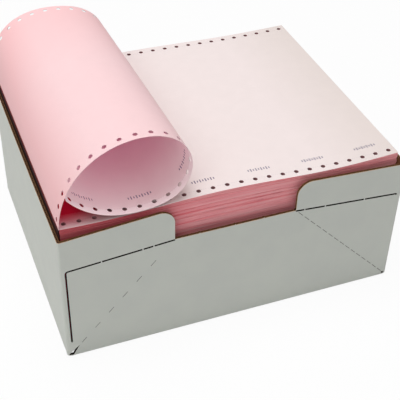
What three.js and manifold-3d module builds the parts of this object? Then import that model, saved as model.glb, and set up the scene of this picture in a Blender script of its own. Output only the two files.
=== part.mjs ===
// Fanfold continuous form paper standing in its open feed carton.
//
// Two pieces. The forms are one long web of two-part paper, folded in a zigzag into a stack; its top form is
// lifted at the right end and has curled over on itself, still joined to the stack at the left fold. The
// carton is one folded blank of corrugated board, with a feed window and a scored tear-down panel in front.
//
// Millimetres. X runs fold to fold, Y runs from the feed window to the back wall, Z is up from the underside.

import * as THREE from 'three';
import { mergeVertices } from 'three/addons/utils/BufferGeometryUtils.js';
import Module from 'manifold-3d';

const wasm = await Module();
wasm.setup();

// Forms
const sprocketPitch = 12.7;
const holesPerForm = 24;
const formWidth = 241.3;
const sprocketHoleRadius = 2;
const sprocketMargin = 6.35;
const sheetThickness = 0.4;
const stackHeight = 136.9;
const bundleCount = 22;
const foldRidgeDepth = 0.9;
const foldRidgeLip = 0.3;
const layerGrooveDepth = 0.35;
const layerGrooveHeight = 0.6;

// The top of the stack swells in the middle, more at the front edge than at the back
const swellPeakX = -15;
const swellLength = 210;
const frontSwell = 1.8;
const backSwell = 0.9;

// The curl lies on the page below it, this far clear
const curlRestGap = 0.5;

// Carton
const boardThickness = 2.5;
const leftFoldGap = 0.8;
const rightFoldGap = 4.6;
const frontGap = 4.5;
const backGap = 2.3;
const wallHeight = 133;
const cornerRadius = 2.2;
const flapSeam = 0.8;
const cornerReliefSize = 2;

// Front wall: feed window between two ears, and the cut lines of the tear-down panel
const windowCentreX = -3.5;
const windowWidth = 110.5;
const windowSill = 109.3;
const earHeight = 140.2;
const earRadius = 13;
const slitWidth = 0.9;
const slitDrop = 7.7;
const slitInset = 5;
const slitBendRadius = 4;
const leftSlitFoot = 18;
const nickWidth = 1.4;
const leftNicks = [28, 18.5, 63.5];
const rightNicks = [8.5, 28.5, 67.5];
const sillNicks = [22, 54, 80.5];
const sillNickHeight = 0.8;
const dashLength = 6.5;
const dashPitch = 19;
const dashWidth = 0.5;
const cornerNotchWidth = 4;
const cornerNotchLength = 14.8;

// How sharply the lifted form bends on its way round, as bend radius over form length, at stations given as
// shares of that length from the fold to the free edge; the curl is a little flatter towards the back
const bendStations = [0, 0.15, 0.35, 0.49, 0.6, 0.68, 0.76, 0.87, 1];
const frontBends = [0.34, 0.227, 0.223, 0.11, 0.112, 0.112, 0.347, 0.21, 0.225];
const backBends = [0.568, 0.129, 0.384, 0.117, 0.076, 0.126, 0.324, 0.173, 0.12];

// Fineness of the curved surfaces
const curlSteps = 56;
const curlSections = 4;
const swellSteps = 16;
const holeSides = 8;
const arcSteps = 8;

// A cutter runs this far past what it cuts
const overcut = 1;

const formLength = sprocketPitch * holesPerForm;
const cartonLength = leftFoldGap + formLength + rightFoldGap + 2 * boardThickness;
const cartonDepth = frontGap + formWidth + backGap + 2 * boardThickness;
const cartonFront = -cartonDepth / 2;
const stackLeft = -cartonLength / 2 + boardThickness + leftFoldGap;
const stackRight = stackLeft + formLength;
const stackFront = cartonFront + boardThickness + frontGap;
const stackBack = stackFront + formWidth;
const floorTop = 2 * boardThickness;
const windowLeft = windowCentreX - windowWidth / 2;
const windowRight = windowCentreX + windowWidth / 2;

function toSolid(geometry) {
  const bare = geometry.index ? geometry.toNonIndexed() : geometry.clone();
  bare.deleteAttribute('normal');
  bare.deleteAttribute('uv');
  const merged = mergeVertices(bare, 1e-4);
  return new wasm.Manifold(new wasm.Mesh({
    numProp: 3,
    vertProperties: new Float32Array(merged.attributes.position.array),
    triVerts: new Uint32Array(merged.index.array),
  }));
}

function toGeometry(solid) {
  const { vertProperties, triVerts } = solid.getMesh();
  const geometry = new THREE.BufferGeometry();
  geometry.setAttribute('position', new THREE.BufferAttribute(vertProperties, 3));
  geometry.setIndex(new THREE.BufferAttribute(triVerts, 1));
  geometry.computeVertexNormals();
  return geometry;
}

function box(x0, x1, y0, y1, z0, z1) {
  const geometry = new THREE.BoxGeometry(x1 - x0, y1 - y0, z1 - z0);
  return geometry.translate((x0 + x1) / 2, (y0 + y1) / 2, (z0 + z1) / 2);
}

// An outline drawn as seen from the front, in X and Z, carried back from yFront to yBack
function extrudeBack(shape, yFront, yBack) {
  const options = { depth: yBack - yFront, bevelEnabled: false, curveSegments: arcSteps };
  return new THREE.ExtrudeGeometry(shape, options).rotateX(Math.PI / 2).translate(0, yBack, 0);
}

// Skins a closed X-Z section that changes along Y; every section has the same number of points
function loft(sectionAt, stations) {
  const sections = stations.map(sectionAt);
  const size = sections[0].length;
  const positions = sections.flatMap((section, k) => section.flatMap((p) => [p.x, stations[k], p.y]));
  const indices = [];
  for (let k = 0; k + 1 < sections.length; k += 1) {
    for (let i = 0; i < size; i += 1) {
      const a = k * size + i;
      const b = k * size + (i + 1) % size;
      indices.push(a, b + size, b, a, a + size, b + size);
    }
  }
  const last = (sections.length - 1) * size;
  THREE.ShapeUtils.triangulateShape(sections[0], []).forEach(([a, b, c]) => indices.push(a, b, c));
  THREE.ShapeUtils.triangulateShape(sections.at(-1), []).forEach(([a, b, c]) => {
    indices.push(last + a, last + c, last + b);
  });
  const geometry = new THREE.BufferGeometry();
  geometry.setAttribute('position', new THREE.Float32BufferAttribute(positions, 3));
  geometry.setIndex(indices);
  return geometry;
}

function steps(from, to, count) {
  return Array.from({ length: count + 1 }, (_, i) => from + (to - from) * i / count);
}

function backShare(y) {
  return (y - stackFront) / formWidth;
}

// Height of the stack's top page: one gentle wave along the form
function pageTop(x, y) {
  const swell = THREE.MathUtils.lerp(frontSwell, backSwell, backShare(y));
  return floorTop + stackHeight + swell * Math.cos(2 * Math.PI * (x - swellPeakX) / swellLength);
}

// Stack section: folds stand out as rounded ridges, one to a bundle of forms, up both ends
function stackSection(y) {
  const bundle = stackHeight / bundleCount;
  const ridges = (x, inward) => Array.from({ length: bundleCount }, (_, k) => {
    const foot = floorTop + k * bundle;
    const top = k + 1 === bundleCount ? pageTop(x, y) - floorTop - k * bundle : bundle;
    return [
      new THREE.Vector2(x + inward * foldRidgeDepth, foot),
      new THREE.Vector2(x, foot + foldRidgeLip * top),
      new THREE.Vector2(x, foot + (1 - foldRidgeLip) * top),
    ];
  }).flat();
  const topLine = steps(stackRight - foldRidgeDepth, stackLeft + foldRidgeDepth, swellSteps)
    .map((x) => new THREE.Vector2(x, pageTop(x, y)));
  return [...ridges(stackRight, -1), ...topLine, ...ridges(stackLeft, 1).reverse()];
}

// The zigzag stack: fold ridges at the ends, layer grooves on the cut edges, sprocket holes right through
function makeStack() {
  let stack = toSolid(loft(stackSection, steps(stackFront, stackBack, curlSections)));
  const bundle = stackHeight / bundleCount;
  for (let k = 1; k < bundleCount; k += 1) {
    const z = floorTop + k * bundle;
    const x = [stackLeft - overcut, stackRight + overcut];
    const front = box(...x, stackFront - overcut, stackFront + layerGrooveDepth, z, z + layerGrooveHeight);
    const back = box(...x, stackBack - layerGrooveDepth, stackBack + overcut, z, z + layerGrooveHeight);
    stack = stack.subtract(toSolid(front)).subtract(toSolid(back));
  }
  const reach = stackHeight + 2 * (frontSwell + overcut);
  const drill = new THREE.CylinderGeometry(sprocketHoleRadius, sprocketHoleRadius, reach, holeSides);
  drill.rotateX(Math.PI / 2);
  for (const y of marginLines()) {
    for (let i = 0; i < holesPerForm; i += 1) {
      const x = stackLeft + (i + 0.5) * sprocketPitch;
      stack = stack.subtract(toSolid(drill.clone().translate(x, y, floorTop + stackHeight / 2)));
    }
  }
  return stack;
}

function marginLines() {
  return [stackFront + sprocketMargin, stackBack - sprocketMargin];
}

// Curvature of the lifted form at a share of its length from the fold
function bend(share, y) {
  const k = Math.max(1, bendStations.findIndex((station) => station >= share));
  const between = (share - bendStations[k - 1]) / (bendStations[k] - bendStations[k - 1]);
  const curvature = (bends) => THREE.MathUtils.lerp(1 / bends[k - 1], 1 / bends[k], between) / formLength;
  return THREE.MathUtils.lerp(curvature(frontBends), curvature(backBends), backShare(y));
}

// Centre line of the lifted form at one Y: it leaves the fold at the given heading and bends to the right
function walkCurl(y, heading) {
  const stride = formLength / curlSteps;
  const start = new THREE.Vector2(stackLeft + foldRidgeDepth, pageTop(stackLeft, y) - curlRestGap);
  const path = [{ point: start, angle: heading }];
  for (let i = 0; i < curlSteps; i += 1) {
    const { point, angle } = path[i];
    const middle = angle - bend((i + 0.25) / curlSteps, y) * stride / 2;
    const next = point.clone().add(new THREE.Vector2(Math.cos(middle), Math.sin(middle)).multiplyScalar(stride));
    path.push({ point: next, angle: angle - bend((i + 0.5) / curlSteps, y) * stride });
  }
  return path;
}

function lowestGap(path, y) {
  const underside = path.slice(Math.round(path.length / 2));
  return Math.min(...underside.map(({ point }) => point.y - sheetThickness / 2 - pageTop(point.x, y)));
}

// Finds the heading at which the curl just comes to rest on the page below
function settleCurl(y) {
  let low = Math.PI / 4;
  let high = 3 * Math.PI / 4;
  for (let i = 0; i < 40; i += 1) {
    const heading = (low + high) / 2;
    if (lowestGap(walkCurl(y, heading), y) < curlRestGap) low = heading;
    else high = heading;
  }
  return walkCurl(y, high);
}

function curlSection(y) {
  const offset = ({ point, angle }, side) => new THREE.Vector2(Math.sin(angle), -Math.cos(angle))
    .multiplyScalar(side * sheetThickness / 2).add(point);
  const path = settleCurl(y);
  const inner = path.map((station) => offset(station, 1));
  const outer = path.map((station) => offset(station, -1)).reverse();
  return [...inner, ...outer];
}

// The lifted form, with its sprocket holes punched square to the sheet
function makeCurl() {
  let curl = toSolid(loft(curlSection, steps(stackFront, stackBack, curlSections)));
  const reach = sheetThickness + curlRestGap;
  const punch = new THREE.CylinderGeometry(sprocketHoleRadius, sprocketHoleRadius, reach, holeSides);
  for (const y of marginLines()) {
    const path = settleCurl(y);
    for (let i = 0; i < holesPerForm; i += 1) {
      const along = (i + 0.5) * curlSteps / holesPerForm;
      const k = Math.floor(along);
      const point = path[k].point.clone().lerp(path[k + 1].point, along - k);
      const angle = THREE.MathUtils.lerp(path[k].angle, path[k + 1].angle, along - k);
      curl = curl.subtract(toSolid(punch.clone().rotateY(-angle).translate(point.x, y, point.y)));
    }
  }
  return curl;
}

function makeForms() {
  return makeStack().add(makeCurl());
}

// Upper line of the front wall, left to right: ear, feed window with its torn nicks, ear
function frontWallShape() {
  const half = cartonLength / 2;
  const shape = new THREE.Shape();
  shape.moveTo(-half, 0);
  shape.lineTo(half, 0);
  shape.lineTo(half, wallHeight);
  shape.lineTo(windowRight + earRadius, earHeight);
  shape.absarc(windowRight + earRadius, earHeight - earRadius, earRadius, Math.PI / 2, Math.PI, false);
  shape.lineTo(windowRight, windowSill);
  for (const nick of [...sillNicks].reverse()) {
    const x = windowLeft + nick;
    shape.lineTo(x + nickWidth / 2, windowSill);
    shape.lineTo(x, windowSill + sillNickHeight);
    shape.lineTo(x - nickWidth / 2, windowSill);
  }
  shape.lineTo(windowLeft, windowSill);
  shape.absarc(windowLeft - earRadius, earHeight - earRadius, earRadius, 0, Math.PI / 2, false);
  shape.lineTo(-half, wallHeight);
  return shape;
}

// A thin cut through the front wall from one X-Z point to another
function slit(from, to, width) {
  const length = Math.hypot(to[0] - from[0], to[1] - from[1]);
  const depth = boardThickness + 2 * overcut;
  const blade = new THREE.BoxGeometry(length, depth, width);
  blade.rotateY(-Math.atan2(to[1] - from[1], to[0] - from[0]));
  return blade.translate((from[0] + to[0]) / 2, cartonFront + boardThickness / 2, (from[1] + to[1]) / 2);
}

// The cut from the window sill out to the panel's top corner, broken by uncut nicks
function nickedSlits(side, nicks) {
  const inner = side < 0 ? windowLeft : windowRight;
  const outer = side * (cartonLength / 2 - slitInset - slitBendRadius);
  const run = Math.abs(outer - inner);
  const at = (d) => [inner + side * d, windowSill - slitWidth / 2 - slitDrop * d / run];
  const ends = [...nicks].sort((a, b) => a - b).filter((nick) => nick + nickWidth < run);
  const starts = [0, ...ends.map((nick) => nick + nickWidth / 2)];
  const stops = [...ends.map((nick) => nick - nickWidth / 2), run];
  return starts.map((start, i) => slit(at(start), at(stops[i]), slitWidth));
}

// Where the cut turns down at the panel's top corner, as short straight cuts round a quarter bend
function slitBend(side, turn) {
  const x = side * (cartonLength / 2 - slitInset - slitBendRadius);
  const z = windowSill - slitWidth / 2 - slitDrop - slitBendRadius;
  const at = (a) => [x + side * slitBendRadius * Math.sin(a), z + slitBendRadius * Math.cos(a)];
  const angles = steps(0, turn, 3);
  return angles.slice(1).map((a, i) => slit(at(angles[i]), at(a), slitWidth));
}

// Perforation from a lower corner of the wall up to the foot of the window
function perforation(side) {
  const from = [side * cartonLength / 2, 0];
  const to = [side < 0 ? windowLeft : windowRight, windowSill];
  const length = Math.hypot(to[0] - from[0], to[1] - from[1]);
  const at = (d) => [0, 1].map((axis) => THREE.MathUtils.lerp(from[axis], to[axis], d / length));
  const count = Math.floor(length / dashPitch) - 1;
  return Array.from({ length: count }, (_, k) => {
    const middle = (k + 1.25) * dashPitch;
    return slit(at(middle - dashLength / 2), at(middle + dashLength / 2), dashWidth);
  });
}

// The perforation has opened at the left foot of the panel into a thin wedge
function cornerNotch() {
  const half = cartonLength / 2;
  const rise = Math.atan2(windowSill, windowLeft + half);
  const shape = new THREE.Shape();
  shape.moveTo(-half, -overcut);
  shape.lineTo(-half + cornerNotchWidth, -overcut);
  shape.lineTo(-half + cornerNotchLength * Math.cos(rise), cornerNotchLength * Math.sin(rise));
  shape.lineTo(-half, 0);
  return extrudeBack(shape, cartonFront - overcut, cartonFront + boardThickness + overcut);
}

function roundedTube(height) {
  const outline = new THREE.Shape();
  const x = cartonLength / 2 - cornerRadius;
  const y = cartonDepth / 2 - cornerRadius;
  [[x, -y, -90], [x, y, 0], [-x, y, 90], [-x, -y, 180]].forEach(([cx, cy, from]) => {
    const start = THREE.MathUtils.degToRad(from);
    outline.absarc(cx, cy, cornerRadius, start, start + Math.PI / 2, false);
  });
  outline.closePath();
  return new THREE.ExtrudeGeometry(outline, { depth: height, bevelEnabled: false, curveSegments: 3 });
}

// Walls: one tube of board, its front trimmed to the ears and window, the other sides to the wall height
function makeWalls() {
  const half = cartonLength / 2;
  const inner = half - boardThickness;
  const innerFront = cartonFront + boardThickness;
  const innerBack = cartonDepth / 2 - boardThickness;
  const tall = earHeight + overcut;
  const tube = toSolid(roundedTube(earHeight));
  const cavity = toSolid(box(-inner, inner, innerFront, innerBack, -overcut, tall));
  const wide = [-half - overcut, half + overcut];
  const aboveSides = toSolid(box(...wide, innerFront, cartonDepth / 2 + overcut, wallHeight, tall));
  const frontBlank = toSolid(box(...wide, cartonFront - overcut, innerFront, -overcut, tall));
  const frontWall = toSolid(extrudeBack(frontWallShape(), cartonFront - overcut, innerFront));
  return tube.subtract(cavity).subtract(aboveSides).subtract(frontBlank.subtract(frontWall));
}

// Bottom flaps: the front and back flaps meet along a seam, over them lie the two end flaps
function makeFlaps() {
  const x = cartonLength / 2 - cornerRadius;
  const y = cartonDepth / 2 - cornerRadius;
  const endFlapReach = y - flapSeam;
  const outerFlaps = toSolid(box(-x, x, -y, y, 0, boardThickness));
  const left = toSolid(box(-x, -x + endFlapReach, -y, y, boardThickness, floorTop));
  const right = toSolid(box(x - endFlapReach, x, -y, y, boardThickness, floorTop));
  const inside = cartonLength / 2 - boardThickness;
  const seam = toSolid(box(-inside, inside, -flapSeam / 2, flapSeam / 2, -overcut, boardThickness));
  return outerFlaps.add(left).add(right).subtract(seam);
}

// Small openings where the folds of walls and flaps meet at the four lower corners
function cornerReliefs() {
  const x = cartonLength / 2;
  const y = cartonDepth / 2;
  const r = cornerReliefSize;
  return [[x, y], [x, -y], [-x, y], [-x, -y]]
    .map(([cx, cy]) => toSolid(box(cx - r, cx + r, cy - r, cy + r, -overcut, r)));
}

function makeCarton() {
  const cuts = [
    ...nickedSlits(-1, leftNicks),
    ...nickedSlits(1, rightNicks),
    ...slitBend(-1, Math.PI / 2),
    ...slitBend(1, Math.PI / 3),
    slit(
      [-cartonLength / 2 + slitInset, windowSill - slitDrop - slitBendRadius],
      [-cartonLength / 2 + slitInset, leftSlitFoot],
      slitWidth,
    ),
    ...perforation(-1),
    ...perforation(1),
    cornerNotch(),
  ].map(toSolid);
  return [...cuts, ...cornerReliefs()].reduce((body, cut) => body.subtract(cut), makeWalls().add(makeFlaps()));
}

function piece(name, solid, color, roughness) {
  const material = new THREE.MeshStandardMaterial({ color, roughness, metalness: 0 });
  const mesh = new THREE.Mesh(toGeometry(solid), material);
  mesh.name = name;
  return mesh;
}

const group = new THREE.Group();
group.add(piece('continuous_forms', makeForms(), 0xf3d6d6, 0.75));
group.add(piece('carton', makeCarton(), 0xa9aca5, 0.85));

export default group;
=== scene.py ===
# %% [markdown]
# # Continuous forms in their feed carton
#
# Continuous stationery is one long web of paper, holed down both margins for the sprockets of a printer and
# folded in a zigzag into a stack. Here the stack stands in its own low carton, and the top form has been
# lifted at its right end and has curled over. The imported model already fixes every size, so it is loaded
# first as a frame, and each surface below is worked out from that frame.

import bpy
import numpy as np
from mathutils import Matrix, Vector
from mathutils.geometry import delaunay_2d_cdt


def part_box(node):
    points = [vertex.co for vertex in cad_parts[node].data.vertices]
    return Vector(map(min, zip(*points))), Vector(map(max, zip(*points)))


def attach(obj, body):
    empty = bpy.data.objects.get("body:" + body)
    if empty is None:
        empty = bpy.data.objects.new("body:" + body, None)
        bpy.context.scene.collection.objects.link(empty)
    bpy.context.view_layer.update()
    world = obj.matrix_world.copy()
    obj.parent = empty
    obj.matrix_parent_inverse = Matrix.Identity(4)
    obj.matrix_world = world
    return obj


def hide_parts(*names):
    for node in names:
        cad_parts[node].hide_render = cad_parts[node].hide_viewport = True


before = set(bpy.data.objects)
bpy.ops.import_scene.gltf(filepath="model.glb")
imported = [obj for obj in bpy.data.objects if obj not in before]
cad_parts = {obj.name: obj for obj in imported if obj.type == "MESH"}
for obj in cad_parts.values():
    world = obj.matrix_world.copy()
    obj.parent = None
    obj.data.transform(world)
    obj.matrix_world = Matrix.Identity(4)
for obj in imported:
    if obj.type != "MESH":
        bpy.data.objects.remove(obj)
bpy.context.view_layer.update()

# %% [markdown]
# ## Sizes
#
# Shapes are worked out in millimetres and turned to metres when they become meshes. The carton's outer size
# comes from the frame. The paper's place inside it follows from the gaps at its left end and its front, and
# the form's own length from the half-inch pitch of its sprocket holes.

# %% Sizes in millimetres
MM = 0.001
half_length, half_depth = np.array(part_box("carton")[1][:2]) / MM

BOARD = 2.5
LEFT_GAP, FRONT_GAP = 0.8, 4.5
PITCH = 12.7
HOLES = 24
FORM_LENGTH = HOLES * PITCH
FORM_WIDTH = 241.3
HOLE_RADIUS = 2.0
STACK_HEIGHT = 136.9
SHEET = 0.22
TOUCH = 1e-6

stack_left = -half_length + BOARD + LEFT_GAP
stack_right = stack_left + FORM_LENGTH
stack_front = -half_depth + BOARD + FRONT_GAP
floor_top = 2 * BOARD
print("stack from", round(stack_left, 1), "to", round(stack_right, 1), "mm, front at", round(stack_front, 1))

# %% [markdown]
# ## From arrays to meshes
#
# A piece is a closed mesh, made of several patches that share or touch their edges. One helper takes all the
# points, the faces with their material numbers and a UV value for each point, welds points that fall
# together, and writes everything into the mesh with foreach_set. Smooth shading stops at sharp edges. Two
# more helpers find a patch's free edges and hang quads from them.

# %% A helper that turns patches into one object
SHARP_DEGREES = 35
WELD_DIGITS = 7


def make_object(name, patches, materials):
    """Joins patches (points, uv, faces, material number) into one object, in metres, at the origin."""
    points = np.concatenate([patch[0] for patch in patches]) * MM
    uv = np.concatenate([patch[1] for patch in patches]) * MM
    starts = np.cumsum([0] + [len(patch[0]) for patch in patches[:-1]])
    faces = [patch[2] + start for patch, start in zip(patches, starts)]
    corners = np.concatenate([group.ravel() for group in faces])
    sizes = np.concatenate([np.full(len(group), group.shape[1]) for group in faces])
    slots = np.concatenate([np.full(len(patch[2]), patch[3]) for patch in patches])
    _, first, weld = np.unique(np.round(points, WELD_DIGITS), axis=0, return_index=True, return_inverse=True)
    mesh = bpy.data.meshes.new(name)
    mesh.vertices.add(len(first))
    mesh.vertices.foreach_set("co", points[first].astype(np.float32).ravel())
    mesh.loops.add(len(corners))
    mesh.loops.foreach_set("vertex_index", weld.ravel()[corners].astype(np.int32))
    mesh.polygons.add(len(sizes))
    mesh.polygons.foreach_set("loop_start", (np.cumsum(sizes) - sizes).astype(np.int32))
    mesh.polygons.foreach_set("material_index", slots.astype(np.int32))
    layer = mesh.uv_layers.new(name="flat")
    layer.data.foreach_set("uv", uv[corners].astype(np.float32).ravel())
    mesh.update(calc_edges=True)
    mesh.polygons.foreach_set("use_smooth", np.ones(len(sizes), dtype=bool))
    mesh.set_sharp_from_angle(angle=np.radians(SHARP_DEGREES))
    for material in materials:
        mesh.materials.append(material)
    piece = bpy.data.objects.new(name, mesh)
    bpy.context.scene.collection.objects.link(piece)
    print(name, "has", int(np.sum(sizes - 2)), "triangles")
    return piece


def rim_edges(faces):
    """Directed edges that only one face has, in the direction in which that face runs round."""
    edges = np.concatenate([np.stack([faces[:, k], np.roll(faces, -1, axis=1)[:, k]], axis=1)
                            for k in range(faces.shape[1])])
    keys = edges[:, 0] * (faces.max() + 1) + edges[:, 1]
    back = edges[:, 1] * (faces.max() + 1) + edges[:, 0]
    return edges[~np.isin(keys, back)]


def hanging_faces(edges, count, rows):
    """Quads under directed edges, row below row, where every row of points holds count of them."""
    start, end = edges[:, 0], edges[:, 1]
    return np.concatenate([np.stack([end + k, start + k, start + k + count, end + k + count], axis=1)
                           for k in count * np.arange(rows - 1)])


# %% [markdown]
# ## One form, laid flat
#
# Every page has the same cut: a rectangle with a round hole in the middle of each half-inch square of its
# two margins. In each of those squares the mesh runs in rings from the square to the circle, so that the
# holes are truly round and the paper between them can still bend. The middle of the form is a plain grid.


# %% The flat pattern of a form
CELL_SIDE = 6
FLAT_DIGITS = 5
CIRCLE = 4 * CELL_SIDE
RING_BLEND = np.array([0, 0.5, 0.85, 1])
MIDDLE_ROWS = 36


def margin_cell():
    """Rings that blend a square of one pitch, point by point, into the hole's circle."""
    side = np.linspace(-1, 1, CELL_SIDE, endpoint=False)
    low, high = np.full(CELL_SIDE, -1.0), np.full(CELL_SIDE, 1.0)
    square = np.stack([np.concatenate([side, high, -side, low]),
                       np.concatenate([low, side, high, -side])], axis=1)
    turn = np.radians(-135) + 2 * np.pi * np.arange(CIRCLE) / CIRCLE
    circle = HOLE_RADIUS * np.stack([np.cos(turn), np.sin(turn)], axis=1)
    blend = RING_BLEND[:, None, None]
    rings = (1 - blend) * square * PITCH / 2 + blend * circle
    k = np.arange(CIRCLE)
    quad = np.stack([k, (k + 1) % CIRCLE, (k + 1) % CIRCLE + CIRCLE, k + CIRCLE], axis=1)
    quads = np.concatenate([quad + CIRCLE * ring for ring in range(len(RING_BLEND) - 1)])
    return rings.reshape(-1, 2), quads


def grid_faces(rows, columns):
    """Quads of a grid of points stored row by row; columns and rows count the points."""
    corner = (np.arange(rows - 1)[:, None] * columns + np.arange(columns - 1)).ravel()
    return np.stack([corner, corner + 1, corner + columns + 1, corner + columns], axis=1)


def flat_form():
    """The form's points (distance from the left fold, distance from the front edge) and its quads."""
    cell, quads = margin_cell()
    centres = (np.arange(HOLES) + 0.5) * PITCH
    points, faces, count = [], [], 0
    for margin in (PITCH / 2, FORM_WIDTH - PITCH / 2):
        for centre in centres:
            points.append(cell + (centre, margin))
            faces.append(quads + count)
            count += len(cell)
    u = np.linspace(0, FORM_LENGTH, HOLES * CELL_SIDE + 1)
    v = np.linspace(PITCH, FORM_WIDTH - PITCH, MIDDLE_ROWS + 1)
    grid_u, grid_v = np.meshgrid(u, v)
    points.append(np.stack([grid_u.ravel(), grid_v.ravel()], axis=1))
    faces.append(grid_faces(len(v), len(u)) + count)
    points, faces = np.concatenate(points), np.concatenate(faces)
    _, first, weld = np.unique(np.round(points, FLAT_DIGITS), axis=0, return_index=True, return_inverse=True)
    return points[first], weld.ravel()[faces]


form_uv, form_faces = flat_form()
form_rim = rim_edges(form_faces)
to_far_sides = np.abs(form_uv - (FORM_LENGTH, FORM_WIDTH))
on_border = np.minimum(form_uv, to_far_sides).min(axis=1) < TOUCH
is_side = on_border[form_rim].all(axis=1)
print("flat form:", len(form_uv), "points,", len(form_faces), "faces,", len(form_rim), "rim edges")

# %% [markdown]
# ## The stack's top page
#
# The top of a fanfold stack is never flat, because the folds and the margins pack to different heights. One
# gentle wave along the form does it here, twice as high at the front as at the back.

# %% Height of the top page
SWELL_PEAK, SWELL_LENGTH = -15.0, 210.0
FRONT_SWELL, BACK_SWELL = 1.8, 0.9


def swell(x, v):
    """A cosine along the form, whose height fades from the front swell to the back swell."""
    height = FRONT_SWELL + (BACK_SWELL - FRONT_SWELL) * v / FORM_WIDTH
    return height * np.cos(2 * np.pi * (x - SWELL_PEAK) / SWELL_LENGTH)


def page_top(x, v):
    """The stack's height plus the swell."""
    return floor_top + STACK_HEIGHT + swell(x, v)


# %% [markdown]
# ## The lifted form
#
# Paper bends about straight lines and does not stretch, so a curl is fully told by how sharply it bends at
# each point of its length. The bend is given as a radius, in lengths of the form, at a few stations, once
# for the front edge and once for the back, and everything between is blended. Summing the bend gives the
# direction of the sheet, summing the direction gives its line, and the angle at the fold is found so that
# the curl just touches the page.

# %% Bend of the lifted form
STATIONS = np.array([0, 0.15, 0.35, 0.49, 0.6, 0.68, 0.76, 0.87, 1])
FRONT_BENDS = np.array([0.34, 0.227, 0.223, 0.11, 0.112, 0.112, 0.347, 0.21, 0.225])
BACK_BENDS = np.array([0.568, 0.129, 0.384, 0.117, 0.076, 0.126, 0.324, 0.173, 0.12])
FOLD_INSET = 0.9
REST_GAP = 0.3
LINE_STEPS = 1200
LINE_SECTIONS = 25
LEAST_HEADING, MOST_HEADING = np.pi / 4, 3 * np.pi / 4
HALVINGS = 40


def curl_line(heading, v):
    """Direction, x and z down the form for each distance v: two running sums of the bend, from the fold."""
    share = np.linspace(0, 1, LINE_STEPS + 1)[:, None]
    front = np.interp(share, STATIONS, 1 / FRONT_BENDS) / FORM_LENGTH
    back = np.interp(share, STATIONS, 1 / BACK_BENDS) / FORM_LENGTH
    bend = front + (back - front) * v / FORM_WIDTH
    step = FORM_LENGTH / LINE_STEPS
    zero = np.zeros((1, len(v)))
    angle = heading - np.concatenate([zero, np.cumsum((bend[1:] + bend[:-1]) / 2 * step, axis=0)])
    middle = (angle[1:] + angle[:-1]) / 2
    x = stack_left + FOLD_INSET + np.concatenate([zero, np.cumsum(np.cos(middle) * step, axis=0)])
    foot = page_top(stack_left, v) - REST_GAP
    z = foot + np.concatenate([zero, np.cumsum(np.sin(middle) * step, axis=0)])
    return angle, x, z


def settled_curl():
    """Halves a bracket of headings, for all sections at once, until each rests a hair above the page."""
    v = np.linspace(0, FORM_WIDTH, LINE_SECTIONS)
    low, high = np.full(len(v), LEAST_HEADING), np.full(len(v), MOST_HEADING)
    for _ in range(HALVINGS):
        heading = (low + high) / 2
        _, x, z = curl_line(heading, v)
        under = slice(LINE_STEPS // 2, None)
        gap = np.min(z[under] - SHEET / 2 - page_top(x[under], v), axis=0)
        low, high = np.where(gap < REST_GAP, heading, low), np.where(gap < REST_GAP, high, heading)
    return curl_line(high, v)


curl_angle, curl_x, curl_z = settled_curl()
print("heading at the fold:", np.degrees(curl_angle[0, [0, -1]]).round(1), "top:", curl_z.max().round(1))


# %% The lifted form as a surface
def on_curl(uv, lift):
    """Points of the curl for flat places uv, moved square to the sheet by lift; outwards is positive."""
    row = uv[:, 0] / FORM_LENGTH * LINE_STEPS
    column = uv[:, 1] / FORM_WIDTH * (LINE_SECTIONS - 1)
    i = np.clip(row.astype(int), 0, LINE_STEPS - 1)
    j = np.clip(column.astype(int), 0, LINE_SECTIONS - 2)
    a, b = row - i, column - j

    def between(table):
        near = table[i, j] * (1 - a) + table[i + 1, j] * a
        far = table[i, j + 1] * (1 - a) + table[i + 1, j + 1] * a
        return near * (1 - b) + far * b

    angle = between(curl_angle)
    x = between(curl_x) - np.sin(angle) * lift
    z = between(curl_z) + np.cos(angle) * lift
    return np.stack([x, stack_front + uv[:, 1], z], axis=1)


def lifted_form_patches():
    """The form twice, half a sheet out and half a sheet in, closed by quads along every cut edge."""
    outer, inner = on_curl(form_uv, SHEET / 2), on_curl(form_uv, -SHEET / 2)
    rim = hanging_faces(form_rim, len(form_uv), 2)
    double_uv = np.concatenate([form_uv, form_uv])
    both = np.concatenate([outer, inner])
    return [(outer, form_uv, form_faces, 0), (inner, form_uv, form_faces[:, ::-1], 1),
            (both, double_uv, rim[is_side], 2), (both, double_uv, rim[~is_side], 3)]


# %% [markdown]
# ## The stack
#
# The top page is the flat form laid on the swell. From its edges the sides go down in rows of about half a
# millimetre, each row set in or out by a hair, which is what the cut edges of hundreds of sheets look like.
# A few rows stand further in, as grooves where a handful of sheets has slipped, and so does the one under
# the top sheet. At the two ends the rows follow the bulges of the folds. Every hole is a well right through.

# %% Sides of the stack
FINE_DEPTH, FINE_STEP = 42.0, 0.45
COARSE_ROWS = 14
BUNDLES = 22
RIDGE_DEPTH, RIDGE_POWER, RIDGE_START = 0.8, 3, 2.0
CUT_SCATTER, SCATTER_SHARE, WAVE_REACH = 0.12, 0.6, 47
STEADY_ROWS = 2
GROOVE_DEPTH, GROOVE_SHARE = 0.5, 0.09
TOP_SHEET = 1.0
SWELL_FADE = 60.0
WELL_SHARES = np.array([0, 0.02, 0.08, 0.25, 1])
SEAT = 0.05

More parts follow.
